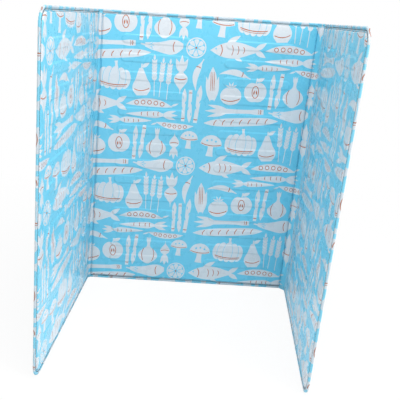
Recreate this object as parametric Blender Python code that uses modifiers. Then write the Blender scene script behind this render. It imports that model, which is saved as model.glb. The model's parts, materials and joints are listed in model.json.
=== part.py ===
"""Folding splash guard for a camp stove, standing open in a U.

Three stiffened boards are sleeved in printed film and joined by two soft film folds.
Metres, +Z up. The origin is the middle of the back panel's bottom edge. The back panel
lies in the XZ plane and the wings reach out along -Y, which is the front.
"""

import math

import bmesh
import bpy
from mathutils import Vector
from mathutils.geometry import delaunay_2d_cdt

# Panels
BACK_WIDTH = 0.400
WING_WIDTH = 0.365
HEIGHT = 0.540
CORNER_RADIUS = 0.025

# Angles between the back panel and each wing, seen from above, in degrees
LEFT_OPENING = 98.0
RIGHT_OPENING = 81.0

# Layers of a panel, from the middle outwards
CORE_THICKNESS = 0.0030
FOIL_THICKNESS = 0.0002
FILM_THICKNESS = 0.0003
CLEARANCE = 0.0003

# Film margins: round the rim, and beside a fold
RIM_MARGIN = 0.0075
FOLD_MARGIN = 0.0018
FILM_SLOPE = 0.0015

# Pressed ribs of the foil, in two columns
RIB_WIDTH = 0.018
RIB_HEIGHT = 0.0010
RIB_WALL = 0.0025
RIB_PITCH = 0.034
RIB_END_MARGIN = 0.018
RIB_SIDE_MARGIN = 0.034
RIB_COLUMN_GAP = 0.066

# Edge binding, and the seam that holds it
BINDING_WIDTH = 0.0065
BINDING_WALL = 0.0007
BINDING_NOSE = 0.0010
SEAM_INSET = 0.0050
BEAD_INSET = 0.0028
BEAD_PUFF = 0.0005
LIP_LIFT = 0.0002
THREAD_RADIUS = 0.00025

# Folds: slack between panels that lie on each other, and clearance where a crease turns
FOLD_SLACK = 0.0008
CREASE_CLEARANCE = 0.0002
FOLD_BINDING_WALL = 0.0005
FOLD_BEAD_PUFF = 0.0001

# Facets of rounded outlines
CORNER_SEGMENTS = 6
RIB_END_SEGMENTS = 3

# Distances from a panel's middle plane, worked out from the layers
FOIL_REAR = CORE_THICKNESS / 2 + CLEARANCE
FILM_FRONT_INNER = FOIL_REAR + FOIL_THICKNESS + CLEARANCE
FILM_FRONT_CREST = FILM_FRONT_INNER + FILM_THICKNESS + RIB_HEIGHT
FILM_REAR_INNER = CORE_THICKNESS / 2 + CLEARANCE
FILM_REAR_OUTER = FILM_REAR_INNER + FILM_THICKNESS
MARGIN_INNER = CLEARANCE / 2
MARGIN_OUTER = MARGIN_INNER + FILM_THICKNESS
SEAM_INNER = MARGIN_OUTER + CLEARANCE
THREAD_CENTRE = SEAM_INNER + BINDING_WALL + CLEARANCE + THREAD_RADIUS
THREAD_OUTER = THREAD_CENTRE + THREAD_RADIUS
BEAD_OUTER = SEAM_INNER + BEAD_PUFF + BINDING_WALL
FOLD_BEAD_OUTER = SEAM_INNER + FOLD_BEAD_PUFF + FOLD_BINDING_WALL

# The farthest that anything stands off a panel's middle plane
FRONT_REACH = max(FILM_FRONT_CREST, THREAD_OUTER, BEAD_OUTER)
REAR_REACH = max(FILM_REAR_OUTER, THREAD_OUTER, BEAD_OUTER)

# The left wing folds down first, and the right wing folds down over it
LEFT_FOLD_WIDTH = 2 * FRONT_REACH + FOLD_SLACK
RIGHT_FOLD_WIDTH = LEFT_FOLD_WIDTH + REAR_REACH + FRONT_REACH + FOLD_SLACK

# What lies beside a crease stops short of it, so that the crease can turn a right angle
FILM_CREASE_GAP = MARGIN_OUTER + CREASE_CLEARANCE
BINDING_CREASE_GAP = FOLD_BEAD_OUTER + CREASE_CLEARANCE

# The board ends where the film has climbed to its full height
BOARD_RIM_INSET = RIM_MARGIN + FILM_SLOPE + CLEARANCE
BOARD_FOLD_INSET = FOLD_MARGIN + FILM_SLOPE + CLEARANCE
FILM_RIM_INSET = BINDING_WALL + CLEARANCE

FRONT = Vector((0, -1, 0))
REAR = Vector((0, 1, 0))


def clear_scene():
    for thing in list(bpy.data.objects):
        bpy.data.objects.remove(thing, do_unlink=True)


def make_material(name, colour, roughness, metallic=0.0):
    material = bpy.data.materials.new(name)
    material.use_nodes = True
    shader = material.node_tree.nodes["Principled BSDF"]
    shader.inputs["Base Color"].default_value = (*colour, 1.0)
    shader.inputs["Roughness"].default_value = roughness
    shader.inputs["Metallic"].default_value = metallic
    material.diffuse_color = (*colour, 1.0)
    return material


class Panel:
    """A rectangle from inner to outer along x, with a fold or a bound rim on each upright side."""

    def __init__(self, inner, outer, side=1, outer_is_fold=True, radius=0.0):
        self.inner = inner
        self.outer = outer
        self.side = side
        self.outer_is_fold = outer_is_fold
        self.radius = radius

    def limits(self, fold_inset, rim_inset):
        """Lowest and highest x and z of the panel, drawn in at its folds and its rims."""
        outer_inset = fold_inset if self.outer_is_fold else rim_inset
        return (
            self.inner + fold_inset,
            self.outer - outer_inset,
            rim_inset,
            HEIGHT - rim_inset,
        )

    def outline(self, fold_inset, rim_inset):
        """The panel's drawn-in outline as x, z points, with its free corners rounded."""
        low_x, high_x, low_z, high_z = self.limits(fold_inset, rim_inset)
        radius = max(self.radius - rim_inset, 0.0)
        points = [(low_x, high_z), (low_x, low_z)]
        points += corner(high_x, low_z, radius, -90)
        points += corner(high_x, high_z, radius, 0)
        return [(self.side * x, z) for x, z in points]


def corner(x, z, radius, start):
    """Points round an outer corner at x, z, turning a quarter circle from the start angle."""
    if radius == 0.0:
        return [(x, z)]
    centre_x = x - radius
    centre_z = z + radius if start < 0 else z - radius
    points = []
    for step in range(CORNER_SEGMENTS + 1):
        angle = math.radians(start + 90 * step / CORNER_SEGMENTS)
        points.append(
            (centre_x + radius * math.cos(angle), centre_z + radius * math.sin(angle))
        )
    return points


def pill(centre_x, centre_z, length, width):
    """Outline of a long rib with round ends."""
    points = []
    reach = (length - width) / 2
    for end, start in ((1, -90), (-1, 90)):
        for step in range(RIB_END_SEGMENTS + 1):
            angle = math.radians(start + 180 * step / RIB_END_SEGMENTS)
            x = centre_x + end * reach + width / 2 * math.cos(angle)
            z = centre_z + width / 2 * math.sin(angle)
            points.append((x, z))
    return points


def rib_places(panel):
    """Centre x, centre z and length of each rib that the panel's board has room for."""
    low_x, high_x, low_z, high_z = panel.limits(BOARD_FOLD_INSET, BOARD_RIM_INSET)
    room = high_z - low_z - 2 * RIB_END_MARGIN - RIB_WIDTH
    rows = int(room / RIB_PITCH) + 1
    length = (high_x - low_x - 2 * RIB_SIDE_MARGIN - RIB_COLUMN_GAP) / 2
    middle_x = (low_x + high_x) / 2
    middle_z = (low_z + high_z) / 2
    places = []
    for row in range(rows):
        centre_z = middle_z + (row - (rows - 1) / 2) * RIB_PITCH
        for column in (-1, 1):
            centre_x = middle_x + column * (RIB_COLUMN_GAP + length) / 2
            places.append((panel.side * centre_x, centre_z, length))
    return places


def rib_contours(panel, face_height):
    """Foot and crest outlines of the panel's ribs, each with its height."""
    contours = []
    for x, z, length in rib_places(panel):
        crest_length = length - 2 * RIB_WALL
        crest_width = RIB_WIDTH - 2 * RIB_WALL
        contours.append((pill(x, z, length, RIB_WIDTH), face_height))
        contours.append((pill(x, z, crest_length, crest_width), face_height + RIB_HEIGHT))
    return contours


def add_object(name, data, material, frame):
    data.materials.append(material)
    thing = bpy.data.objects.new(name, data)
    parts.objects.link(thing)
    thing.parent = frame
    return thing


def solidify(thing, thickness):
    modifier = thing.modifiers.new("Thickness", "SOLIDIFY")
    modifier.thickness = thickness
    modifier.offset = 1.0
    modifier.use_even_offset = True


def sheet(name, contours, facing, thickness, material, frame):
    """A pressed sheet. Its inner surface passes through nested outlines at their heights."""
    places = []
    heights = []
    loops = []
    for points, height in contours:
        first = len(places)
        places += [Vector(point) for point in points]
        heights += [height] * len(points)
        loops.append([first + step for step in range(len(points))])
    edges = []
    for loop in loops[1:]:
        edges += list(zip(loop, loop[1:] + loop[:1]))
    flat, _, triangles, sources, _, _ = delaunay_2d_cdt(
        places, edges, [loops[0]], 1, 1e-7, True
    )
    shape = bmesh.new()
    for point, source in zip(flat, sources):
        shape.verts.new((point.x, 0, point.y)).co += facing * heights[source[0]]
    shape.verts.ensure_lookup_table()
    for triangle in triangles:
        shape.faces.new([shape.verts[index] for index in triangle])
    shape.normal_update()
    if shape.faces[:][0].normal.dot(facing) < 0:
        bmesh.ops.reverse_faces(shape, faces=shape.faces)
    data = bpy.data.meshes.new(name)
    shape.to_mesh(data)
    shape.free()
    thing = add_object(name, data, material, frame)
    solidify(thing, thickness)
    return thing


def rim_path(panel, crease_gap, edges=("bottom", "outer", "top")):
    """Points along the panel's bound edges, each with the outward direction there."""
    low_x, high_x, low_z, high_z = panel.limits(crease_gap, 0.0)
    path = []
    if "bottom" in edges:
        path.append(((low_x, low_z), (0, -1)))
    if panel.outer_is_fold:
        middle = (high_x, low_z if "bottom" in edges else high_z)
        path.append((middle, (0, -1 if "bottom" in edges else 1)))
    else:
        for z, start in ((low_z, -90), (high_z, 0)):
            points = corner(high_x, z, panel.radius, start)
            for step, point in enumerate(points):
                angle = math.radians(start + 90 * step / CORNER_SEGMENTS)
                path.append((point, (math.cos(angle), math.sin(angle))))
    if "top" in edges:
        path.append(((low_x, high_z), (0, 1)))
    return [
        (Vector((panel.side * x, 0, z)), Vector((panel.side * out_x, 0, out_z)))
        for (x, z), (out_x, out_z) in path
    ]


def binding_profile(wall, puff):
    """Inner surface of the folded strip, as inset from the edge and height off the middle."""
    half = [
        (BINDING_WIDTH, SEAM_INNER + min(LIP_LIFT, puff)),
        (SEAM_INSET, SEAM_INNER),
        (BEAD_INSET, SEAM_INNER + puff),
        (wall + BINDING_NOSE, SEAM_INNER + puff * 0.8),
        (wall, SEAM_INNER * 0.6),
    ]
    return half + [(inset, -height) for inset, height in reversed(half)]


def binding(name, path, wall, puff, material, frame):
    """A strip folded over the rim: a grid bent round the path, then given its wall."""
    profile = binding_profile(wall, puff)
    shape = bmesh.new()
    bmesh.ops.create_grid(
        shape, x_segments=len(path) - 1, y_segments=len(profile) - 1, size=1.0
    )
    columns = sorted(shape.verts, key=lambda vert: (round(vert.co.x, 4), vert.co.y))
    for number, vert in enumerate(columns):
        point, outward = path[number // len(profile)]
        inset, height = profile[number % len(profile)]
        vert.co = point - outward * inset + FRONT * height
    shape.normal_update()
    shape.faces.ensure_lookup_table()
    lip = min(shape.faces, key=lambda face: face.calc_center_median().y)
    if lip.normal.dot(FRONT) < 0:
        bmesh.ops.reverse_faces(shape, faces=shape.faces)
    data = bpy.data.meshes.new(name)
    shape.to_mesh(data)
    shape.free()
    data.shade_smooth()
    thing = add_object(name, data, material, frame)
    solidify(thing, wall)
    return thing


def seam(prefix, path, frame):
    """The lockstitch through the binding: a needle thread in front and a bobbin thread behind."""
    for layer, facing in (("needle", FRONT), ("bobbin", REAR)):
        name = f"{prefix}_{layer}_thread"
        curve = bpy.data.curves.new(name, "CURVE")
        curve.dimensions = "3D"
        curve.bevel_depth = THREAD_RADIUS
        curve.bevel_resolution = 0
        curve.use_fill_caps = True
        spline = curve.splines.new("POLY")
        spline.points.add(len(path) - 1)
        for spot, (point, outward) in zip(spline.points, path):
            place = point - outward * SEAM_INSET + facing * THREAD_CENTRE
            spot.co = (*place, 1.0)
        add_object(name, curve, thread, frame)


def film_contours(panel, face_height):
    """Margin, foot and shoulder outlines of a film that covers the panel's board."""
    fold_shoulder = FOLD_MARGIN + FILM_SLOPE
    rim_shoulder = RIM_MARGIN + FILM_SLOPE
    return [
        (panel.outline(FILM_CREASE_GAP, FILM_RIM_INSET), MARGIN_INNER),
        (panel.outline(FOLD_MARGIN, RIM_MARGIN), MARGIN_INNER),
        (panel.outline(fold_shoulder, rim_shoulder), face_height),
    ]


def panel_layers(prefix, panel, frame):
    """Core board, ribbed foil and the two films of one panel."""
    board = panel.outline(BOARD_FOLD_INSET, BOARD_RIM_INSET)
    core = [(board, CORE_THICKNESS / 2)]
    sheet(prefix + "_core_board", core, REAR, -CORE_THICKNESS, cardboard, frame)
    foil = [(board, FOIL_REAR)] + rib_contours(panel, FOIL_REAR)
    sheet(prefix + "_foil_sheet", foil, FRONT, FOIL_THICKNESS, foil_metal, frame)
    front = film_contours(panel, FILM_FRONT_INNER) + rib_contours(panel, FILM_FRONT_INNER)
    sheet(prefix + "_front_film", front, FRONT, FILM_THICKNESS, front_print, frame)
    rear = film_contours(panel, FILM_REAR_INNER)
    sheet(prefix + "_rear_film", rear, REAR, FILM_THICKNESS, rear_print, frame)


def crease(name, parent, x, turn):
    """An empty on a crease line, which carries everything beyond that crease."""
    frame = bpy.data.objects.new(name, None)
    parts.objects.link(frame)
    frame.parent = parent
    frame.location = (x, 0, 0)
    frame.rotation_euler = (0, 0, math.radians(turn))
    return frame


def make_back():
    panel = Panel(-BACK_WIDTH / 2, BACK_WIDTH / 2)
    panel_layers("back", panel, None)
    for edge in ("bottom", "top"):
        path = rim_path(panel, BINDING_CREASE_GAP, (edge,))
        name = f"back_{edge}_binding"
        binding(name, path, BINDING_WALL, BEAD_PUFF, bound_edge, None)
        seam(f"back_{edge}", path, None)


def make_fold(prefix, width, side, frame):
    """The narrow strip of film between two creases, with its bound ends."""
    panel = Panel(0.0, width, side)
    outline = [(panel.outline(0.0, FILM_RIM_INSET), MARGIN_INNER)]
    for layer, facing, material in (("front", FRONT, front_print), ("rear", REAR, rear_print)):
        sheet(f"{prefix}_fold_{layer}_film", outline, facing, FILM_THICKNESS, material, frame)
    for edge in ("bottom", "top"):
        path = rim_path(panel, FILM_CREASE_GAP, (edge,))
        name = f"{prefix}_fold_{edge}_binding"
        binding(name, path, FOLD_BINDING_WALL, FOLD_BEAD_PUFF, bound_edge, frame)


def make_wing(prefix, side, frame):
    panel = Panel(0.0, WING_WIDTH, side, outer_is_fold=False, radius=CORNER_RADIUS)
    panel_layers(prefix, panel, frame)
    path = rim_path(panel, BINDING_CREASE_GAP)
    binding(f"{prefix}_binding", path, BINDING_WALL, BEAD_PUFF, bound_edge, frame)
    seam(prefix, path, frame)


def make_side(prefix, side, opening, fold_width):
    """One fold and its wing. The turn from flat is shared equally by the two creases."""
    turn = -side * (180 - opening) / 2
    inner = crease(f"{prefix}_inner_crease", None, side * BACK_WIDTH / 2, turn)
    make_fold(prefix, fold_width, side, inner)
    outer = crease(f"{prefix}_outer_crease", inner, side * fold_width, turn)
    make_wing(prefix, side, outer)


clear_scene()
parts = bpy.data.collections.new("folding_splash_guard")
bpy.context.scene.collection.children.link(parts)

front_print = make_material("printed_film_front", (0.20, 0.58, 0.86), 0.22)
rear_print = make_material("printed_film_rear", (0.22, 0.56, 0.82), 0.30)
bound_edge = make_material("printed_film_binding", (0.30, 0.62, 0.86), 0.28)
foil_metal = make_material("aluminium_foil", (0.82, 0.83, 0.85), 0.25, metallic=1.0)
cardboard = make_material("grey_cardboard", (0.46, 0.42, 0.36), 0.85)
thread = make_material("polyester_thread", (0.78, 0.84, 0.88), 0.60)

make_back()
make_side("left", -1, LEFT_OPENING, LEFT_FOLD_WIDTH)
make_side("right", 1, RIGHT_OPENING, RIGHT_FOLD_WIDTH)
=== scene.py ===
"""The looks of a folding splash guard of printed film over board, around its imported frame."""

import json
import math

import bpy
import numpy as np
from mathutils import Matrix, Vector
from mathutils.geometry import delaunay_2d_cdt


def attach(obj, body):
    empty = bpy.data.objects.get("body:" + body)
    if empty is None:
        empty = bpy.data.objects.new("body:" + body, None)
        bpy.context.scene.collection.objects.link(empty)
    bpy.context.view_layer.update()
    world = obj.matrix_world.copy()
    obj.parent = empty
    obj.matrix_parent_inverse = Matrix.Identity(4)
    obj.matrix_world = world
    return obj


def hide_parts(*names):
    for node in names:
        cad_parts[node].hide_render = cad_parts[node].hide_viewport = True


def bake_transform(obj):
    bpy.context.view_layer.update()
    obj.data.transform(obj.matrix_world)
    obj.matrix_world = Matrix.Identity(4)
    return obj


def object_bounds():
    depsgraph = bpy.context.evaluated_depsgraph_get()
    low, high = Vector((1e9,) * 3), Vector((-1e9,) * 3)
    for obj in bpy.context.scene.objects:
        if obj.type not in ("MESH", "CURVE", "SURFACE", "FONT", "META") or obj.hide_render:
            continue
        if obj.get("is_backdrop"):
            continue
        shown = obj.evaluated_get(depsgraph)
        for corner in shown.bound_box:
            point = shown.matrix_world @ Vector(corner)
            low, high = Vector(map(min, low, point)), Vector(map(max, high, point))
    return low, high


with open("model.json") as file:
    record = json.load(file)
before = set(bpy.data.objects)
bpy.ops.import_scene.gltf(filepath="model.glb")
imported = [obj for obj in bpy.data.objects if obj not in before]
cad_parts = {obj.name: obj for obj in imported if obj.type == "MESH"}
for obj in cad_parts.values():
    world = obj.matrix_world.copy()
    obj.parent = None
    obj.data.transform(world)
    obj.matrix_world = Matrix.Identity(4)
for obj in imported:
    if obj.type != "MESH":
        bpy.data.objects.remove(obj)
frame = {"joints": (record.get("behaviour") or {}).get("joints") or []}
cad_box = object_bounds()

# The studio: a camera at the photograph's viewpoint, a white floor, and four soft boxes.
# The camera was fitted to the corners of the three panels. The photograph is cropped off
# its lens axis, and the shift repeats that.
IMAGE_WIDTH = 400
FOCAL_PIXELS = 575.35
LENS_AXIS_PIXEL = (134.4, 187.4)
CAMERA_PLACE = Vector((-0.1368, -1.1056, 0.5381))
CAMERA_PITCH = math.radians(16.90)
CAMERA_YAW = math.radians(-0.88)
CAMERA_ROLL = math.radians(3.84)
FLOOR_REACH = 4.0
FLOOR_COLOUR = "#f4f4f4"
FADE_START = 0.3
FADE_END = 0.9
SHADOW_LIFT = 0.90
FILL_STRENGTH = 0.55

# Each box's name, place, target, size and watts
SOFT_BOXES = (
    ("top_box", (0.0, -0.7, 1.6), (0.0, -0.05, 0.2), (0.8, 0.8), 14.0),
    ("right_box", (0.9, -1.1, 0.8), (-0.2, -0.2, 0.25), (0.5, 0.8), 7.0),
    ("left_box", (-0.75, -1.0, 0.15), (0.2, -0.2, 0.2), (0.7, 0.25), 1.1),
    ("wing_box", (1.5, -1.1, 0.4), (-0.24, -0.2, 0.27), (0.5, 0.6), 4.5),
)


def colour(code):
    """A linear colour from an sRGB hex code."""
    channels = [int(code[place : place + 2], 16) / 255 for place in (1, 3, 5)]
    linear = [c / 12.92 if c <= 0.04045 else ((c + 0.055) / 1.055) ** 2.4 for c in channels]
    return (*linear, 1.0)


def add_node(tree, kind, inputs=None, **settings):
    """Adds a shader node. An input takes a value, an output, or a node's first output."""
    node = tree.nodes.new("ShaderNode" + kind)
    for name, value in settings.items():
        setattr(node, name, value)
    for name, value in (inputs or {}).items():
        if isinstance(value, bpy.types.Node):
            value = value.outputs[0]
        if isinstance(value, bpy.types.NodeSocket):
            tree.links.new(value, node.inputs[name])
        else:
            node.inputs[name].default_value = value
    return node


def start_material(name):
    """A material with an empty node tree, and the piece's own coordinates in it."""
    material = bpy.data.materials.new(name)
    material.use_nodes = True
    tree = material.node_tree
    tree.nodes.clear()
    return material, tree, add_node(tree, "TexCoord").outputs["Object"]


def put_in_scene(name, data):
    thing = bpy.data.objects.new(name, data)
    bpy.context.scene.collection.objects.link(thing)
    return thing


lens = bpy.data.cameras.new("camera")
lens.lens = FOCAL_PIXELS / IMAGE_WIDTH * lens.sensor_width
lens.shift_x = (IMAGE_WIDTH / 2 - LENS_AXIS_PIXEL[0]) / IMAGE_WIDTH
lens.shift_y = (LENS_AXIS_PIXEL[1] - IMAGE_WIDTH / 2) / IMAGE_WIDTH
lens.clip_start = 0.01
camera = put_in_scene("camera", lens)
turn = (
    Matrix.Rotation(CAMERA_YAW, 4, "Z")
    @ Matrix.Rotation(math.radians(90) - CAMERA_PITCH, 4, "X")
    @ Matrix.Rotation(CAMERA_ROLL, 4, "Z")
)
camera.matrix_world = Matrix.Translation(CAMERA_PLACE) @ turn
bpy.context.scene.camera = camera

world = bpy.data.worlds.new("studio")
world.use_nodes = True
tree = world.node_tree
tree.nodes.clear()
rays = add_node(tree, "LightPath")
seen = add_node(tree, "Math", {
    0: rays.outputs["Is Camera Ray"], 1: rays.outputs["Is Glossy Ray"],
}, operation="MAXIMUM")
strength = add_node(tree, "MapRange", {"Value": seen, "To Min": FILL_STRENGTH})
sky = add_node(tree, "Background", {"Color": colour("#ffffff"), "Strength": strength})
add_node(tree, "OutputWorld", {"Surface": sky})
bpy.context.scene.world = world
for name, place, target, size, watts in SOFT_BOXES:
    lamp = bpy.data.lights.new(name, "AREA")
    lamp.shape = "RECTANGLE"
    lamp.size, lamp.size_y = size
    lamp.energy = watts
    box = put_in_scene(name, lamp)
    box.location = place
    box.rotation_euler = (Vector(target) - Vector(place)).to_track_quat("-Z", "Y").to_euler()

# The floor is white paper. To the camera it is lifted to white, wholly so off the shadow
mesh = bpy.data.meshes.new("floor")
corners = [(x, y, 0.0) for x, y in ((-1, -1), (1, -1), (1, 1), (-1, 1))]
mesh.from_pydata([Vector(c) * FLOOR_REACH for c in corners], [], [(0, 1, 2, 3)])
material, tree, place = start_material("white_paper_floor")
paper = add_node(tree, "BsdfDiffuse", {"Color": colour(FLOOR_COLOUR), "Roughness": 1.0})
glow = add_node(tree, "Emission", {"Color": colour("#ffffff"), "Strength": 1.0})
seen = add_node(tree, "LightPath").outputs["Is Camera Ray"]
away = add_node(tree, "VectorMath", {0: place}, operation="LENGTH")
fade = add_node(tree, "MapRange", {
    "Value": away.outputs["Value"], "From Min": FADE_START, "From Max": FADE_END,
    "To Min": SHADOW_LIFT,
})
lift = add_node(tree, "Math", {0: seen, 1: fade}, operation="MULTIPLY")
mixed = add_node(tree, "MixShader", {0: lift, 1: paper, 2: glow})
add_node(tree, "OutputMaterial", {"Surface": mixed})
mesh.materials.append(material)
put_in_scene("floor", mesh)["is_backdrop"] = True

bpy.context.scene.view_settings.view_transform = "Standard"

# The three panels stand on creases that the frame's joints give. A point on a panel has a
# distance u from the inner crease, a height z and a stand-off from the middle plane, which
# is positive on the cooking side.
MM = 0.001
PANEL_NAMES = ("back", "left", "right")
SIDES = (("left", -1), ("right", 1))
HEIGHT = 540 * MM
BACK_WIDTH = 400 * MM
WING_WIDTH = 365 * MM
CORNER_RADIUS = 25 * MM


class Stand:
    """Where a panel stands at rest, and which way it runs."""

    def __init__(self, origin, turn, side):
        spin = Matrix.Rotation(turn, 3, "Z")
        self.origin = np.array(origin)
        self.along = np.array(spin @ Vector((side, 0, 0)))
        self.front = np.array(spin @ Vector((0, -1, 0)))

    def place(self, u, z, off):
        up = np.array((0.0, 0.0, 1.0))
        flat = self.origin + np.multiply.outer(u, self.along) + np.multiply.outer(z, up)
        return flat + np.multiply.outer(off, self.front)


joints = {joint["name"]: joint for joint in frame["joints"]}
stands = {"back_panel": Stand((0.0, 0.0, 0.0), 0.0, 1)}
fold_width = {}
for name, side in SIDES:
    inner = joints[f"{name}_inner_crease"]
    outer = joints[f"{name}_outer_crease"]
    turn = side * math.radians(inner["range_deg"][0])
    stands[f"{name}_wing"] = Stand(outer["pos_m"], 2 * turn, side)
    fold_width[name] = (Vector(outer["pos_m"]) - Vector(inner["pos_m"])).length

# Core boards: grey cardboard pressed from waste paper, with a matt, faintly mottled face of
# short fibres. Each is a flat sheet, held by the bound film around it.
BOARD_COLOUR = "#a8a39a"
BOARD_SHADE = "#948f86"
FIBRE_SIZE = 1.6 * MM

board, tree, place = start_material("pressed_grey_cardboard")
fibres = add_node(tree, "TexNoise", {
    "Vector": place, "Scale": 1 / FIBRE_SIZE, "Detail": 5.0, "Distortion": 1.2,
})
shade = add_node(tree, "Mix", {
    0: fibres, 6: colour(BOARD_SHADE), 7: colour(BOARD_COLOUR),
}, data_type="RGBA")
nap = add_node(tree, "Bump", {"Height": fibres, "Strength": 0.4, "Distance": 0.1 * MM})
card = add_node(tree, "BsdfPrincipled", {
    "Base Color": shade.outputs[2], "Roughness": 0.9, "Normal": nap, "IOR": 1.5,
})
add_node(tree, "OutputMaterial", {"Surface": card})


def cover_solid(node, material):
    """Gives a solid of the frame its material, and leaves its shape as it is."""
    for slot in bpy.data.objects[node].material_slots:
        slot.material = material


for key in PANEL_NAMES:
    cover_solid(f"{key}_core_board", board)

# Foil sheets: rolled aluminium about 0.2 mm thick, pressed into long ribs. They lie under
# the front films, with the bright streaks of rolling running up them.
FOIL_COLOUR = "#d5d8da"
ROLLING_SIZE = 0.8 * MM
ROLLING_STRETCH = 0.02

foil, tree, place = start_material("rolled_aluminium_foil")
drawn = add_node(tree, "Mapping", {"Vector": place, "Scale": (1.0, 1.0, ROLLING_STRETCH)})
streaks = add_node(tree, "TexNoise", {"Vector": drawn, "Scale": 1 / ROLLING_SIZE, "Detail": 3.0})
gloss = add_node(tree, "MapRange", {"Value": streaks, "To Min": 0.18, "To Max": 0.38})
lines = add_node(tree, "Bump", {"Height": streaks, "Strength": 0.2, "Distance": 0.02 * MM})
metal = add_node(tree, "BsdfPrincipled", {
    "Base Color": colour(FOIL_COLOUR), "Metallic": 1.0, "Roughness": gloss, "Normal": lines,
})
add_node(tree, "OutputMaterial", {"Surface": metal})
for key in PANEL_NAMES:
    cover_solid(f"{key}_foil_sheet", foil)

# The print on the film: pale vegetables, fruit, fish and bread with thin rust lines on sky
# blue, in a tile that repeats with a half drop. Shapes are in millimetres, long ones lying
# along x. The film is cut along the outlines, so that every shape has a clean edge.
SKY, PALE, RUST = 0, 1, 2
TILE_WIDTH = 254.0
TILE_HEIGHT = 228.0


def smooth_run(values, steps):
    """Values in between evenly spaced ones, along a smooth curve through them."""
    padded = [2 * values[0] - values[1], *values, 2 * values[-1] - values[-2]]
    run = []
    for place in range(1, len(padded) - 2):
        a, b, c, d = padded[place - 1 : place + 3]
        for step in range(steps):
            t = step / steps
            bend = 2 * a - 5 * b + 4 * c - d + t * (3 * (b - c) + d - a)
            run.append(b + 0.5 * t * (c - a + t * bend))
    return run + [values[-1]]


def turned(length, widths, bow=0.0, steps=5):
    """Outline of a long body from its half widths at even stations, bowed sideways."""
    halves = [max(half, 0.05) for half in smooth_run(widths, steps)]
    stations = np.linspace(-1, 1, len(halves))
    upper = [(s * length / 2, half + bow * (1 - s * s)) for s, half in zip(stations, halves)]
    lower = [(s * length / 2, -half + bow * (1 - s * s)) for s, half in zip(stations, halves)]
    return lower + upper[::-1]


def moved(points, x, y, degrees=0.0, size=1.0):
    turn = math.radians(degrees)
    cos, sin = size * math.cos(turn), size * math.sin(turn)
    return [(x + cos * px - sin * py, y + sin * px + cos * py) for px, py in points]


def leaf(x, y, degrees, length, width):
    """A pointed leaf whose foot is at x, y."""
    body = turned(length, (0.1, width * 0.4, width * 0.5, width * 0.32, 0.1), steps=3)
    return moved([(px + length / 2, py) for px, py in body], x, y, degrees)


def disc(x, y, radius, flat=1.0, count=36):
    turns = np.linspace(0, 2 * math.pi, count, endpoint=False)
    return [(x + radius * math.cos(t), y + radius * flat * math.sin(t)) for t in turns]


def arc_line(x, y, half, rise, thick, degrees=90.0):
    """A thin line across a body at x, y, which bulges by its rise."""
    spans = np.linspace(-1, 1, 9)
    outer = [(half * s, rise * (1 - s * s) + thick / 2) for s in spans]
    inner = [(half * s, rise * (1 - s * s) - thick / 2) for s in spans]
    return moved(inner + outer[::-1], x, y, degrees)


# Each motif gives its inks and outlines, and a later one lies over those before it
def carrot():
    yield PALE, moved(turned(74, (0.3, 2.6, 4.2, 5.6, 6.6, 6.8, 2.5)), -12, 0)
    for degrees, length in ((0, 30), (16, 27), (-16, 27)):
        yield PALE, leaf(24, degrees / 10, degrees, length, 6.5)
    for x, half in ((-18, 3.2), (-6, 4.0), (6, 3.2), (15, 4.2)):
        yield RUST, arc_line(x, 1.2, half, 0.8, 1.3)


def leek():
    yield PALE, moved(turned(70, (4.6, 5.4, 4.0, 3.8, 3.8, 4.2, 4.8)), -17, 0)
    for degrees, length in ((0, 44), (13, 40), (-13, 40)):
        yield PALE, leaf(14, degrees / 6, degrees, length, 7.5)
    yield RUST, arc_line(-46, 0, 4.0, 1.0, 1.5)
    yield RUST, arc_line(-42.4, 0, 4.0, 1.0, 1.0)


def asparagus():
    yield PALE, turned(54, (2.7, 2.9, 2.8, 3.0, 3.6, 3.4, 0.3))
    for x, y, degrees in ((-8, 1.6, 14), (1, -1.8, -14), (10, 1.4, 12)):
        yield SKY, leaf(x, y, degrees, 6.0, 1.6)
    yield RUST, arc_line(-22, 0, 2.6, 0.4, 1.3)


def pea_pod():
    yield PALE, turned(76, (0.3, 4.2, 6.2, 6.8, 6.2, 4.2, 0.3), bow=5)
    yield PALE, leaf(36, 1.5, 24, 13, 3.4)
    for x in (-21, -10.5, 0, 10.5, 21):
        y = 5 * (1 - (x / 38) ** 2)
        yield RUST, disc(x, y, 3.7, count=20)
        yield PALE, disc(x, y, 2.6, count=16)


def pepper():
    yield PALE, turned(50, (0.3, 2.6, 4.6, 5.8, 6.0, 3.4), bow=6)
    yield PALE, moved(turned(15, (1.0, 1.2, 2.0, 3.6)), 30, -1.6, 158)
    yield RUST, arc_line(20, 3.0, 4.8, -1.0, 1.5, 80)


def corn():
    yield PALE, turned(62, (5.5, 8.6, 9.4, 8.6, 6.0, 0.5))
    for y, degrees in ((7.5, 6), (-7.5, -6)):
        yield PALE, leaf(-34, y * 0.5, degrees * 1.6, 48, 9)
    for y in (-3.2, 0, 3.2):
        yield RUST, moved(turned(36, (0.3, 0.65, 0.3)), 4, y)


def aubergine():
    yield PALE, turned(74, (4.5, 12.5, 14.0, 11.5, 8.6, 6.8, 4.0), bow=4)
    for degrees in (150, 180, 210):
        yield SKY, leaf(33, 1.0, degrees, 14, 4.4)
        yield PALE, leaf(34, 1.0, degrees, 13, 3.0)
    yield PALE, moved(turned(14, (2.6, 1.6, 1.4)), 39, 0.2, -12)
    yield RUST, arc_line(-20, 2.4, 9.5, -2.5, 1.6)


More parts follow.
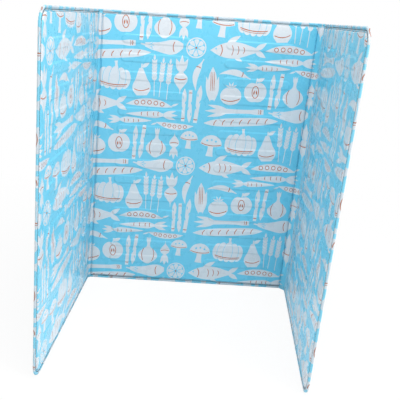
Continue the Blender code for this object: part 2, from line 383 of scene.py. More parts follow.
def pumpkin():
    for x, half, tall in ((-22, 11, 19), (22, 11, 19), (-12, 11, 22), (12, 11, 22), (0, 10, 23)):
        yield SKY, disc(x, 0, half + 0.9, (tall + 0.7) / (half + 0.9))
        yield PALE, disc(x, 0, half, tall / half)
    yield PALE, moved(turned(14, (4.2, 2.6, 2.4, 3.4)), 1, 27, 100)
    yield RUST, arc_line(0, -9.6, 27, -3.5, 1.8, 0)
    yield RUST, arc_line(0, -13, 25, -3.5, 1.0, 0)


def tomato():
    yield PALE, disc(0, 0, 18, 0.86)
    for degrees in (30, 70, 110, 150):
        yield SKY, leaf(0, 13.0, degrees, 11.5, 4.4)
        yield PALE, leaf(0, 13.2, degrees, 11.0, 3.0)
    yield RUST, arc_line(0, -5, 15.5, -4, 1.5, 0)


def mushroom():
    yield PALE, moved(turned(26, (7.5, 6.0, 5.4, 6.0)), 0, -10, 90)
    cap = [(22 * math.cos(t), 20 * math.sin(t)) for t in np.linspace(0, math.pi, 24)]
    yield PALE, moved(cap + [(-12, -3.5), (0, -4.5), (12, -3.5)], 0, 2)
    yield RUST, arc_line(0, 3.4, 20.5, -3.5, 1.6, 0)
    for x in (-9, 0, 9):
        yield SKY, disc(x, 12 - abs(x) * 0.25, 2.2, count=12)


def pear():
    yield PALE, moved(turned(48, (9.0, 15.5, 15.5, 10.5, 7.0, 3.2)), 0, 0, 90)
    yield PALE, moved(turned(9, (0.8, 0.9, 1.3)), 1, 27, 80)
    yield PALE, leaf(1, 25, 28, 16, 6.5)
    yield RUST, arc_line(0, -12, 13.5, -3.5, 1.5, 0)


def apple():
    turns = np.linspace(0, 2 * math.pi, 44, endpoint=False)
    body = []
    for t in turns:
        dip = 3.6 * math.exp(-((t - math.pi / 2) ** 2) / 0.12)
        dip += 1.8 * math.exp(-((t - math.pi * 1.5) ** 2) / 0.10)
        body.append(((19.5 - 0.4 * dip) * math.cos(t), (18.5 - dip) * math.sin(t)))
    yield PALE, body
    yield PALE, moved(turned(11, (0.8, 0.9, 1.4)), 1, 18.5, 76)
    yield PALE, leaf(1, 18, 24, 15, 6.5)
    yield RUST, disc(0, 0, 6.2, 1.75)
    yield PALE, disc(0, 0, 4.9, 1.95)
    for x, degrees in ((-2.6, 82), (2.6, 98)):
        yield RUST, leaf(x, -4.5, degrees, 8.0, 2.4)


def fish():
    yield PALE, turned(84, (0.3, 8.5, 13.0, 14.2, 12.0, 7.5, 3.0))
    yield PALE, leaf(36, 0, 32, 24, 9)
    yield PALE, leaf(36, 0, -32, 24, 9)
    yield PALE, leaf(-14, 11, 30, 28, 9)
    yield PALE, leaf(0, -11, -28, 17, 6)
    yield RUST, arc_line(-24, 0, 9.5, -3, 1.6)
    for x, half in ((-4, 8.5), (6, 7.5), (16, 5.5)):
        yield RUST, arc_line(x, 0, half, -2.2, 1.2)
    yield SKY, disc(-32, 2.5, 1.6, count=10)


def wheat():
    yield PALE, turned(66, (0.7, 0.7, 0.7))
    for step in range(6):
        for degrees in (30, -30):
            yield PALE, leaf(-4 + step * 6.2, 0, degrees, 9.5, 4.2)
    yield PALE, leaf(33, 0, 0, 11, 4.2)


def lemon():
    """A round slice with its rind and segments."""
    yield PALE, disc(0, 0, 17)
    yield SKY, disc(0, 0, 15)
    for step in range(8):
        degrees = step * 45
        turn = math.radians(degrees)
        wedge = turned(11.4, (0.2, 1.5, 2.8, 4.0, 2.4), steps=2)
        yield PALE, moved(wedge, 8.4 * math.cos(turn), 8.4 * math.sin(turn), degrees)
    yield RUST, disc(0, 0, 1.6, count=10)


def loaf():
    yield PALE, turned(138, (0.6, 5.4, 7.2, 7.8, 8.0, 8.0, 7.8, 7.2, 5.4, 0.6))
    for x in (-48, -32, -16, 0, 16, 32, 48):
        yield RUST, arc_line(x, 0, 5.2, 1.4, 1.5, 62)


def onion():
    yield PALE, moved(turned(44, (3.0, 14.5, 18.5, 14.0, 4.0, 2.6)), 0, 0, 90)
    for degrees in (78, 92, 106):
        yield PALE, leaf(0, 18, degrees, 16, 4.0)
    for x, rise in ((-8.5, 3.2), (8.5, -3.2)):
        yield RUST, arc_line(x, -3, 12.5, rise, 1.2, 90)


def radish():
    yield PALE, moved(turned(36, (0.3, 1.2, 6.5, 11.0, 10.5, 3.6)), 0, -8, 90)
    for degrees, length in ((90, 30), (68, 26), (112, 26)):
        yield PALE, leaf(0, 8, degrees, length, 8.5)
    yield RUST, arc_line(0, 0, 9.5, -2, 1.5, 0)


# Where each shape lies in the tile: its middle, its turn and its size
LAYOUT = (
    (fish, 49, 26, 3, 1.06),
    (carrot, 156, 10, 1, 0.97),
    (pea_pod, 152, 27, -1, 1.17),
    (asparagus, 218, 32, 91, 1.17),
    (asparagus, 230, 30, -88, 1.16),
    (asparagus, 245, 35, 86, 1.35),
    (mushroom, 24, 70, -4, 0.95),
    (pumpkin, 82, 75, -4, 0.95),
    (pear, 134, 71, 5, 1.07),
    (wheat, 158, 79, 93, 1.01),
    (wheat, 171, 76, 87, 0.97),
    (wheat, 185, 73, 88, 1.01),
    (radish, 208, 82, 1, 1.14),
    (pepper, 241, 85, 85, 0.97),
    (loaf, 77, 120, 5, 1.03),
    (leek, 65, 140, 182, 1.03),
    (aubergine, 172, 141, 181, 0.96),
    (lemon, 232, 140, 0, 1.11),
    (corn, 15, 190, 94, 1.00),
    (tomato, 52, 169, 4, 1.12),
    (pepper, 50, 208, -1, 0.97),
    (apple, 98, 179, 3, 1.10),
    (carrot, 118, 225, 181, 0.83),
    (asparagus, 129, 181, 89, 1.24),
    (asparagus, 143, 183, -95, 1.24),
    (onion, 171, 177, -1, 1.07),
    (pea_pod, 204, 222, 177, 0.96),
    (radish, 206, 184, 181, 0.84),
    (mushroom, 234, 193, -2, 0.78),
)


TILE = [
    (ink, np.array(moved(points, x, y, degrees, size)))
    for motif, x, y, degrees, size in LAYOUT
    for ink, points in motif()
]


def print_over(low_s, high_s, low_t, high_t):
    """The print's inked outlines that reach into a rectangle of the sheet, in millimetres."""
    found = []
    for column in range(math.floor(low_s / TILE_WIDTH) - 1, math.ceil(high_s / TILE_WIDTH) + 1):
        drop = TILE_HEIGHT / 2 * (column % 2)
        first = math.floor((low_t - drop) / TILE_HEIGHT) - 1
        last = math.ceil((high_t - drop) / TILE_HEIGHT) + 1
        for row in range(first, last):
            for ink, points in TILE:
                placed = points + (column * TILE_WIDTH, row * TILE_HEIGHT + drop)
                low, high = placed.min(0), placed.max(0)
                if low[0] < high_s and high[0] > low_s and low[1] < high_t and high[1] > low_t:
                    found.append((ink, placed))
    return found


# Printed film: polyester film about 0.1 mm thick, gravure printed in three inks and laminated
# under a clear gloss. It creases finely where it was handled, which breaks its highlights
# into streaks. Its inside face is plain white ink.
FILM_SKY = "#6fcae6"
FILM_PALE = "#d9dce0"
FILM_RUST = "#b9643c"
FILM_BACK = "#dfe3e4"
BLOTCH_SIZE = 60 * MM
SMEAR_SIZE = 25 * MM
CREASE_SIZE = 55 * MM
CREASE_WIDTH = 2.2 * MM
CRINKLE_SIZE = 13 * MM
INK_MOTTLES = (("sky", 0.03), ("pale", 0.02), ("rust", 0.05))
SHARP_ANGLE = math.radians(50)
SAME_SPOT = 1e-4
NUDGE = 0.15


def film_material(name, code, mottle):
    material, tree, place = start_material(name)
    blotch = add_node(tree, "TexNoise", {
        "Vector": place, "Scale": 1 / BLOTCH_SIZE, "Detail": 3.0, "Roughness": 0.55,
    })
    ink_colour = colour(code)[:3]
    dark = (*(channel * (1 - mottle) for channel in ink_colour), 1.0)
    light = (*(min(channel * (1 + mottle), 1.0) for channel in ink_colour), 1.0)
    ink = add_node(tree, "Mix", {0: blotch, 6: dark, 7: light}, data_type="RGBA")
    smear = add_node(tree, "TexNoise", {
        "Vector": place, "Scale": 1 / SMEAR_SIZE, "Detail": 4.0, "Roughness": 0.6,
    })
    gloss = add_node(tree, "MapRange", {
        "Value": smear, "From Min": 0.3, "From Max": 0.7, "To Min": 0.22, "To Max": 0.36,
    })
    facets = add_node(tree, "TexVoronoi", {
        "Vector": place, "Scale": 1 / CREASE_SIZE,
    }, feature="DISTANCE_TO_EDGE")
    crease = add_node(tree, "MapRange", {
        "Value": facets, "From Max": CREASE_WIDTH / CREASE_SIZE,
    }, interpolation_type="SMOOTHSTEP")
    crinkle = add_node(tree, "TexNoise", {
        "Vector": place, "Scale": 1 / CRINKLE_SIZE, "Detail": 1.0, "Roughness": 0.4,
    })
    soft = add_node(tree, "Bump", {"Height": crease, "Strength": 0.35, "Distance": 0.12 * MM})
    fine = add_node(tree, "Bump", {
        "Height": crinkle, "Normal": soft, "Strength": 0.15, "Distance": 0.3 * MM,
    })
    film = add_node(tree, "BsdfPrincipled", {
        "Base Color": ink.outputs[2], "Roughness": gloss, "Normal": fine, "IOR": 1.5,
        "Coat Weight": 0.15, "Coat Roughness": 0.12,
    })
    add_node(tree, "OutputMaterial", {"Surface": film})
    return material


def print_along(start, side, low, high):
    """The print over a stretch of the sheet, in millimetres from the stretch's start."""
    ends = (start + side * low, start + side * high)
    found = print_over(min(ends), max(ends), 0.0, HEIGHT / MM)
    return [(ink, (points - (start, 0.0)) * (side, 1.0)) for ink, points in found]


def print_inks(kind, *codes):
    """A film's printed inks in the print's order, and last its unprinted back."""
    inks = []
    for (name, mottle), code in zip(INK_MOTTLES, codes):
        inks.append(film_material(f"{kind}_{name}", code, mottle))
    return [*inks, film_back]


def inside(points, spots):
    """Which spots lie inside a closed outline."""
    x, y = spots[:, :1], spots[:, 1:]
    after = np.roll(points, -1, axis=0)
    rise = after[:, 1] - points[:, 1]
    rise = np.where(rise == 0, 1e-12, rise)
    spans = (points[:, 1] > y) != (after[:, 1] > y)
    meets = points[:, 0] + (after[:, 0] - points[:, 0]) * (y - points[:, 1]) / rise
    return (spans & (x < meets)).sum(1) % 2 == 1


def closed(points):
    return np.concatenate([points, points[:1]])


def rectangle(left, right, low, high):
    return [(left, low), (right, low), (right, high), (left, high)]


def triangulate(boundary, inked, lines, spots):
    """Triangles over a flat outline. Gives their points, corners and inks.

    They are cut along the inked outlines and along lines where the relief turns.
    """
    chains = [closed(boundary)] + [closed(points) for _, points in inked] + lines
    starts = np.cumsum([0] + [len(chain) for chain in chains])
    edges = []
    for start, end in zip(starts, starts[1:]):
        edges += [(k, k + 1) for k in range(start, end - 1)]
    places = [Vector(point) for point in np.concatenate([*chains, spots])]
    flat, _, triangles, *_ = delaunay_2d_cdt(places, edges, [], 0, SAME_SPOT, False)
    flat = np.array([tuple(point) for point in flat])
    triangles = np.array(triangles)
    middles = flat[triangles].mean(1)
    kept = inside(boundary, middles)
    triangles, middles = triangles[kept], middles[kept]
    inks = np.full(len(triangles), SKY)
    x, y = middles.T
    for ink, points in inked:
        (left, low), (right, high) = points.min(0), points.max(0)
        near = np.flatnonzero((x > left) & (x < right) & (y > low) & (y < high))
        inks[near[inside(points, middles[near])]] = ink
    used, index = np.unique(triangles, return_inverse=True)
    return flat[used], index.reshape(-1, 3), inks


def turned_outward(points, faces):
    """A closed surface's faces, all turned over if they face inwards."""
    corners = points[np.array([face[:3] for face in faces])]
    inward = np.linalg.det(corners - points.mean(0)).sum() < 0
    return [tuple(face[::-1]) for face in faces] if inward else faces


def rim_edges(triangles):
    """Directed edges that belong to one triangle only."""
    edges = np.concatenate([triangles[:, [0, 1]], triangles[:, [1, 2]], triangles[:, [2, 0]]])
    ordered = np.sort(edges, axis=1)
    _, index, count = np.unique(ordered, axis=0, return_inverse=True, return_counts=True)
    return edges[count[index.reshape(-1)] == 1]


def film_piece(name, boundary, inked, inks, surface, wall, rigid, fine, coarse=None):
    """A closed thin film: a printed outer face, a plainer inner face, and its cut edge.

    Fine and coarse are the outer and inner face's relief lines and spots. A rigid piece is
    shaded by its true surface, whatever its triangles.
    """
    flat, triangles, numbers = triangulate(boundary, inked, *fine)
    edge = rim_edges(triangles)
    following = dict(edge.tolist())
    start = int(edge[0][0])
    ring = [start]
    while following[ring[-1]] != start:
        ring.append(following[ring[-1]])
    inner_flat, inner_triangles, _ = triangulate(flat[ring], [], *(coarse or fine))
    match = {tuple(np.round(point, 3)): k for k, point in enumerate(inner_flat)}
    twin = [match[tuple(np.round(flat[k], 3))] for k in ring]
    outer = surface(flat, 0.0)
    inner = surface(inner_flat, wall)
    first = len(outer)
    sides = []
    for k in range(len(ring)):
        a, b = ring[k], ring[(k + 1) % len(ring)]
        c, d = twin[k] + first, twin[(k + 1) % len(ring)] + first
        sides += [(b, a, c), (b, c, d)]
    points = np.concatenate([outer, inner])
    faces = triangles.tolist() + (inner_triangles[:, ::-1] + first).tolist() + sides
    faces = turned_outward(points, faces)
    mesh = bpy.data.meshes.new(name)
    mesh.from_pydata(points, [], faces)
    for ink in inks:
        mesh.materials.append(ink)
    unprinted = np.full(len(faces) - len(numbers), len(inks) - 1)
    slots = np.concatenate([numbers, unprinted]).astype(np.int32)
    mesh.polygons.foreach_set("material_index", slots)
    mesh.shade_smooth()
    mesh.set_sharp_from_angle(angle=SHARP_ANGLE)
    if rigid:
        across = surface(flat + (NUDGE, 0), 0.0) - surface(flat - (NUDGE, 0), 0.0)
        upward = surface(flat + (0, NUDGE), 0.0) - surface(flat - (0, NUDGE), 0.0)
        normals = np.cross(across, upward)
        normals /= np.linalg.norm(normals, axis=1)[:, None]
        first_face = points[np.array(faces[0])]
        facing = np.cross(first_face[1] - first_face[0], first_face[2] - first_face[0])
        normals *= np.sign(facing @ normals[faces[0][0]])
        corner_normals = np.zeros((3 * len(faces), 3))
        shown = np.array(faces[: len(triangles)]).ravel()
        corner_normals[: len(shown)] = normals[shown]
        mesh.normals_split_custom_set(corner_normals)
    return put_in_scene(name, mesh)


film_back = film_material("laminated_polyester_film_back", FILM_BACK, 0.02)
film_inks = print_inks("laminated_polyester_film", FILM_SKY, FILM_PALE, FILM_RUST)

# Front films: one sheet in reality, in three stretches here. The film lies over the ribs
# of the foil under it, slopes down at the board's edge, and runs flat into the rim.
RIM_MARGIN = 7.5 * MM
FOLD_MARGIN = 1.8 * MM
FILM_SLOPE = 1.5 * MM
RIM_INSET = 1.0 * MM
CREASE_GAP = 0.65 * MM
MARGIN_OFF = 0.45 * MM
FRONT_FACE_OFF = 2.5 * MM
FILM_WALL = 0.22 * MM
WAVE = 0.22 * MM
WAVE_SIZES = [size * MM for size in (95, 82, 69, 56, 43)]

RIB_WIDTH = 18 * MM
RIB_HEIGHT = 1.0 * MM
RIB_WALL = 2.5 * MM
RIB_PITCH = 34 * MM
RIB_END_MARGIN = 18 * MM
RIB_SIDE_MARGIN = 34 * MM
RIB_COLUMN_GAP = 66 * MM
BOARD_RIM_INSET = 9.3 * MM
BOARD_FOLD_INSET = 3.6 * MM
RIB_SLOPE = (-0.8 * MM, RIB_WALL + 0.6 * MM)
RIM_SLOPE = (RIM_MARGIN - 0.3 * MM, RIM_MARGIN + FILM_SLOPE)
FOLD_SLOPE = (FOLD_MARGIN - 0.2 * MM, FOLD_MARGIN + FILM_SLOPE)

# How closely the mesh follows the relief
GRID_STEP = 7.5 * MM
ROW_STEP = 0.87
FINE_SPACING = 5 * MM
COARSE_SPACING = 12 * MM
SLOPE_INSETS = [inset * MM for inset in (-0.35, 0.05, 0.4, 0.75, 1.1, 1.55)]
SLOPE_CLEARANCE = 2 * MM
RIB_INSETS = [inset * MM for inset in (-1.0, 0.1, 1.2, 2.3, 3.3)]
RIB_CLEARANCE = 1.5 * MM


def ease(low, high, value):
    """0 below low, 1 above high, and a smooth climb between."""
    t = np.clip((value - low) / (high - low), 0, 1)
    return t * t * (3 - 2 * t)


def waves(u, z, seed):
    """Slow swells of loose film, between -1 and 1."""
    total = np.zeros_like(u)
    for k, size in enumerate(WAVE_SIZES):  # each swell runs its own way
        bend = math.sin(seed * 3.1 + k * 1.7) * 0.9 + 0.4
        phase = seed * 2.3 + k * 1.1
        total += np.sin((u * math.cos(bend) + z * math.sin(bend)) * 2 * math.pi / size + phase)
    return total / len(WAVE_SIZES)


class Panel:
    """A board's stretch from inner to outer, between folds or with a bound outer rim.

    Its film starts at a place on the printed sheet, and runs to that side.
    """

    def __init__(self, body, inner, outer, bound, start, side):
        self.body, self.stand = body, stands[body]
        self.inner, self.outer, self.bound = inner, outer, bound
        self.radius = CORNER_RADIUS if bound else 0.0
        self.start, self.side = start, side

    def outline(self, fold_inset, rim_inset, spacing):
        """Drawn-in outline in u and z, with its bound corners rounded."""
        high_u = self.outer - (rim_inset if self.bound else fold_inset)
        low_u = self.inner + fold_inset
        low_z, high_z = rim_inset, HEIGHT - rim_inset
        radius = max(self.radius - rim_inset, 0.0)
        points = [(low_u, high_z), (low_u, low_z)]
        for z, start in ((low_z, -90), (high_z, 0)):
            middle_z = z + (radius if start < 0 else -radius)
            corner = arc_points(high_u - radius, middle_z, radius, start, 90)
            points += corner if radius else [(high_u, z)]
        return along_outline(points, spacing)

    def rim_distance(self, u, z):
        """How far inside the bound edges a point lies."""
        across = np.minimum(z, HEIGHT - z)
        if not self.bound:
            return across
        reach_u = u - (self.outer - self.radius)
        reach_z = np.abs(z - HEIGHT / 2) - (HEIGHT / 2 - self.radius)
        rounded = self.radius - np.hypot(np.maximum(reach_u, 0), np.maximum(reach_z, 0))
        straight = np.minimum(across, self.outer - u)
        return np.where((reach_u > 0) & (reach_z > 0), rounded, straight)

    def fold_distance(self, u):
        from_inner = u - self.inner
        return from_inner if self.bound else np.minimum(from_inner, self.outer - u)

    def board_lift(self, u, z):
        """0 on the flat margins and 1 over the board, with the film's slope between."""
        rim = ease(*RIM_SLOPE, self.rim_distance(u, z))
        return rim * ease(*FOLD_SLOPE, self.fold_distance(u))

    def ribs(self):
        """Middle u, middle z and length of each rib."""
        low = self.inner + BOARD_FOLD_INSET
        high = self.outer - (BOARD_RIM_INSET if self.bound else BOARD_FOLD_INSET)
        board_height = HEIGHT - 2 * BOARD_RIM_INSET
        rows = int((board_height - 2 * RIB_END_MARGIN - RIB_WIDTH) / RIB_PITCH) + 1
        length = (high - low - 2 * RIB_SIDE_MARGIN - RIB_COLUMN_GAP) / 2
        for row in range(rows):
            z = HEIGHT / 2 + (row - (rows - 1) / 2) * RIB_PITCH
            for column in (-1, 1):
                yield (low + high) / 2 + column * (RIB_COLUMN_GAP + length) / 2, z, length

    def rib_depth(self, u, z):
        """How far inside the nearest rib's outline a point lies, below 0 outside it."""
        depth = np.full_like(u, -HEIGHT)
        for middle_u, middle_z, length in self.ribs():
            reach = (length - RIB_WIDTH) / 2
            past = np.maximum(np.abs(u - middle_u) - reach, 0)
            depth = np.maximum(depth, RIB_WIDTH / 2 - np.hypot(past, z - middle_z))
        return depth


def along_outline(points, spacing):
    """Points at an even spacing round a closed outline, with its own corners kept."""
    spots = []
    for a, b in zip(points, points[1:] + points[:1]):
        count = max(round(math.dist(a, b) / spacing), 1)
        spots += [tuple(np.array(a) + (np.array(b) - a) * k / count) for k in range(count)]
    return spots


def arc_points(u, z, radius, start, sweep):
    """Nine points along an arc about u, z, from a start in degrees."""
    turns = np.radians(np.linspace(start, start + sweep, 9))
    return [(u + radius * math.cos(t), z + radius * math.sin(t)) for t in turns]


def pill_loop(u, z, length, width):
    """Points round a long rib with round ends."""
    reach, radius = (length - width) / 2, width / 2
    right_end = arc_points(u + reach, z, radius, -90, 180)
    return right_end + arc_points(u - reach, z, radius, 90, 180)


def panel_relief(panel, step, rib_insets, spacing):
    """Lines round the ribs and the slopes, and a staggered grid of spots between them."""
    grid = []
    rows = int(HEIGHT / (step * ROW_STEP))
    columns = int((panel.outer - panel.inner) / step)
    for row in range(rows):
        z = (row + 0.5) * HEIGHT / rows
        shift = 0.5 + (0.25 if row % 2 else -0.25)
        for column in range(columns):
            u = panel.inner + (column + shift) * (panel.outer - panel.inner) / columns
            grid.append((u, z))
    grid = np.array(grid)
    u, z = grid.T
    level = panel.rim_distance(u, z) > RIM_MARGIN + SLOPE_INSETS[-1] + SLOPE_CLEARANCE
    level &= panel.fold_distance(u) > FOLD_MARGIN + SLOPE_INSETS[-1] + SLOPE_CLEARANCE
    lines = [
        panel.outline(FOLD_MARGIN + inset, RIM_MARGIN + inset, spacing) for inset in SLOPE_INSETS
    ]
    if rib_insets:
        depth = panel.rib_depth(u, z)
        low, high = rib_insets[0] - RIB_CLEARANCE, rib_insets[-1] + RIB_CLEARANCE
        level &= (depth < low) | (depth > high)
        for u, z, length in panel.ribs():
            for inset in rib_insets:
                loop = pill_loop(u, z, length - 2 * inset, RIB_WIDTH - 2 * inset)
                lines.append(along_outline(loop, spacing))
    return [closed(np.array(line) / MM) for line in lines], grid[level] / MM


def film_over_board(key, layer, face, shift):
    """A film stretch over one board, printed face outwards, its print shifted sideways."""
    panel = panels[key]
    front = layer == "front"
    seed = len(key) + (0 if front else 3)

    def surface(flat, wall):
        u, z = flat[:, 0] * MM, flat[:, 1] * MM
        lift = panel.board_lift(u, z)
        off = MARGIN_OFF + (face - MARGIN_OFF) * lift + WAVE * waves(u, z, seed) * lift
        if front:
            depth = panel.rib_depth(u, z)
            off += RIB_HEIGHT * ease(*RIB_SLOPE, depth) * lift
        return panel.stand.place(u, z, (off - wall) * (1 if front else -1))

    boundary = np.array(panel.outline(CREASE_GAP, RIM_INSET, COARSE_SPACING)) / MM
    inked = print_along(panel.start + shift, panel.side, panel.inner / MM, panel.outer / MM)
    insets = RIB_INSETS if front else ()
    fine = panel_relief(panel, GRID_STEP, insets, FINE_SPACING)
    coarse = panel_relief(panel, 3 * GRID_STEP, insets, COARSE_SPACING)
    name = f"{key}_printed_{layer}"
    piece = film_piece(name, boundary, inked, film_inks, surface, FILM_WALL, True, fine, coarse)
    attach(piece, panel.body)
    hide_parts(f"{key}_{layer}_film")


panels = {"back": Panel("back_panel", -BACK_WIDTH / 2, BACK_WIDTH / 2, False, 0.0, 1)}
for name, side in SIDES:
    start = side * (BACK_WIDTH / 2 + fold_width[name]) / MM
    panels[name] = Panel(f"{name}_wing", 0.0, WING_WIDTH, True, start, side)
for key in panels:
    film_over_board(key, "front", FRONT_FACE_OFF, 0.0)

# Rear films: the same printed film on the side away from the cook. There are no ribs on
# this side, so it lies nearly flat over the board.
REAR_FACE_OFF = 2.1 * MM
REAR_PRINT_SHIFT = 97.0
for key in panels:
    film_over_board(key, "rear", REAR_FACE_OFF, REAR_PRINT_SHIFT)

# Folds: on each side the film runs on alone between two creases, with no board in it, so it
# is soft, bulges a little and puckers. Each half of it bends over one crease and laps onto
# the flat margin beside that crease.
FOLD_LAP = 1.3 * MM
BEND_REACH = 0.8 * MM
LAP_OFF = 0.36 * MM
FOLD_WALL = 0.14 * MM
LAP_SPAN = (0.45 * MM, 0.75 * MM)
FOLD_BULGE = 0.08
BULGE_SWELL = 0.5
BOUND_BULGE = 0.35
BOUND_REACH = 22 * MM
SWELL_SQUEEZE = 3
PUCKER = 0.28 * MM
PUCKER_PITCH = 13 * MM
PUCKER_SHARE = 1.6
PUCKER_DRIFT = 5
FOLD_STEP = 4 * MM
STATION_STEP = 1.3 * MM

# Where the film bends, in millimetres past its crease
BENDING_STATIONS = (-0.95, -0.65, -0.4, -0.2, 0.0, 0.2, 0.4, 0.65, 1.0)

# A thin darker line of sky ink along each crease is painted shade for the fold's valley
CREASE_SHADE_INK = 3
CREASE_SHADE_SKY = "#3a8fb0"
CREASE_SHADE_SPAN = (-0.65, 0.8)
fold_inks = [
    *film_inks[:CREASE_SHADE_INK],
    film_material("crease_painted_shade_film", CREASE_SHADE_SKY, 0.15),
    film_back,
]


class Crease:
    """A crease line, and how the film bends over it. Past is a distance beyond the line."""

    def __init__(self, name, half, side):
        joint = joints[f"{name}_{half}_crease"]
        self.origin = np.array(joint["pos_m"])
        self.side = side
        self.turn = side * math.radians(joint["range_deg"][0])
        self.width = fold_width[name]
        if half == "inner":
            self.before, self.from_inner, self.outward = 0.0, 0.0, 1
            self.bodies = ("back_panel", f"{name}_fold")
            self.span = (-FOLD_LAP, self.width / 2)
        else:
            self.before, self.from_inner, self.outward = self.turn, self.width, -1
            self.bodies = (f"{name}_fold", f"{name}_wing")
            self.span = (-self.width / 2, FOLD_LAP)

    def place(self, past, z, off):
        bend = self.before + self.turn * ease(-BEND_REACH, BEND_REACH, past)
        cos, sin = np.cos(bend), np.sin(bend)
        x = self.origin[0] + self.side * past * cos + off * sin
        y = self.origin[1] + self.side * past * sin - off * cos
        return np.stack([x, y, z + 0 * past], axis=-1)

    def bend_piece(self, piece):
        ends = [self.place(np.array(t), 0.0, 0.0) for t in (-BEND_REACH, BEND_REACH)]
        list(self.bodies)
        tuple(ends[0])
        tuple(ends[1])
        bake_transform(piece)

    def stations(self):
        """Distances past the crease where the film needs points, closest at the bend."""
        near = [self.outward * t * MM for t in BENDING_STATIONS]
        reach = self.width / 2
        count = int(reach / STATION_STEP)
        far = [self.outward * reach * (k + 0.5) / count for k in range(count)]
        return sorted(near + [t for t in far if abs(t) > STATION_STEP])


creases = {
    (name, half): Crease(name, half, side) for name, side in SIDES for half in ("inner", "outer")
}


def fold_off(crease, past, z, seed):
    """How far the film stands off the middle of a fold."""
    run = past + crease.from_inner
    arch = np.sin(math.pi * np.clip(run / crease.width, 0, 1))
    ends = BOUND_BULGE + (1 - BOUND_BULGE) * ease(0, BOUND_REACH, np.minimum(z, HEIGHT - z))
    slow = waves(run * SWELL_SQUEEZE, z, seed)
    pucker = np.sin(z * 2 * math.pi / PUCKER_PITCH + PUCKER_DRIFT * slow + seed)
    pucker *= PUCKER_SHARE - ends
    bulge = FOLD_BULGE * crease.width * (1 + BULGE_SWELL * slow) * ends
    beyond = np.maximum(-run, run - crease.width)
    margin = LAP_OFF + (MARGIN_OFF - LAP_OFF) * (1 - ease(*LAP_SPAN, beyond))
    return margin + arch * (bulge + PUCKER * pucker)


def fold_film(name, half, layer):
    """Half of a fold's film, bent over one crease."""
    crease = creases[name, half]
    low, high = (edge / MM for edge in crease.span)
    front = layer == "front"
    face, seed = (1, 2) if front else (-1, 6)

    def surface(flat, wall):
        past, z = flat[:, 0] * MM, flat[:, 1] * MM
        return crease.place(past, z, face * (fold_off(crease, past, z, seed) - wall))

    bottom, top = RIM_INSET / MM, (HEIGHT - RIM_INSET) / MM
    corners = rectangle(low, high, bottom, top)
    boundary = np.array(along_outline(corners, COARSE_SPACING / MM))
    levels = np.arange(bottom, top, FOLD_STEP / MM)
    relief = [np.stack([0 * levels + t / MM, levels], axis=1) for t in crease.stations()]
    start = crease.side * (BACK_WIDTH / 2 + crease.from_inner) / MM
    inked = print_along(start + (0 if front else REAR_PRINT_SHIFT), crease.side, low, high)
    # The painted shade line along the crease, in a darker sky ink
    near, far = (crease.outward * edge for edge in CREASE_SHADE_SPAN)
    inked.append((CREASE_SHADE_INK, np.array(rectangle(near, far, bottom, top))))
    relief = (relief, np.empty((0, 2)))
    key = f"{name}_fold_{layer}_{half}_half"
    piece = film_piece(key, boundary, inked, fold_inks, surface, FOLD_WALL, False, relief)
    crease.bend_piece(piece)
    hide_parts(f"{name}_fold_{layer}_film")


for name, half in creases:
    for layer in ("front", "rear"):
        fold_film(name, half, layer)

# Edge binding: a strip of the same film folded over the raw edges and sewn 5 mm in. The
# layers under it puff it up into a bead, the seam draws it down into a groove, and its cut
# edge is a lip. It gathers into small pleats round the corners and pinches flat at creases.
SEAM_INSET = 5.0 * MM
RIM_GAP = 0.9 * MM
BINDING_WALL = 0.30 * MM

# The rim's section, from its fold: how far in, and how far off the middle plane
RIM_PROFILE = (
    (0.00, 0.00), (0.10, 0.75), (0.45, 1.35), (0.95, 1.75), (1.70, 1.92), (2.50, 1.80),
    (3.30, 1.45), (4.00, 1.10), (4.50, 0.95), (5.30, 0.95), (5.70, 1.12), (6.10, 1.34),
    (6.50, 1.38), (6.90, 1.12),
)

# Where it pinches, gathers and pleats
PINCHED = 0.62 * MM
PINCHED_SHARE = 0.08
PINCH_SPAN = (-0.2 * MM, 3.2 * MM)
FOLD_CLEAR = 1.9 * MM
TIGHT_EDGE = 1.5 * MM
GATHER = 0.10 * MM
GATHER_PITCH = 9 * MM
GATHER_DRIFT = 31 * MM
GATHER_SHIFT = 2.5
PLEAT = 2.4
PLEAT_PITCH = 5.2 * MM

# How closely the mesh follows that
BINDING_STEP = 5.5 * MM
BINDING_SPACING = 11.0
END_STEPS = (0.5, 1.2, 2.0)
CORNER_STEP = 1.4 * MM
CORNER_LEAD = 3 * MM

# Where the strips were cut from the roll, in the print's millimetres
STRIP_MIDDLE = 92.0
STRIP_START = 17.0
STRIP_NEXT = 61.0
FOLD_STRIP_START = {"bottom": 40.0, "top": 150.0}

# Painted shade: the print's inks darkened for the bound rim
SHADED_STRIP_SKY = "#72bfd8"
SHADED_STRIP_PALE = "#bcc8d0"
SHADED_STRIP_RUST = "#9c5f43"

# The strip is single film. Its inks are darker, duller copies of the print's: painted shade along
# the bound rim
rim_shaded_strip_inks = print_inks("rim_shaded_polyester_film", SHADED_STRIP_SKY, SHADED_STRIP_PALE, SHADED_STRIP_RUST)


def binding_profile(wall):
    """Distance across the strip from its fold, with the inset and stand-off there."""
    outline = np.array(RIM_PROFILE) * MM
    across = np.concatenate([[0.0], np.cumsum(np.hypot(*np.diff(outline, axis=0).T))])
    slope = np.gradient(outline, across, axis=0)
    slope[0] = (0.0, 1.0)
    inward = np.stack([slope[:, 1], -slope[:, 0]], axis=1)
    return across, outline + wall * inward / np.hypot(*slope.T)[:, None]


def pinch(off, clear):
    """Flattens the bead towards a crease, but keeps it clear of the film beneath."""
    low = np.minimum(off, PINCHED + PINCHED_SHARE * off)
    return low + (off - low) * ease(*PINCH_SPAN, clear)


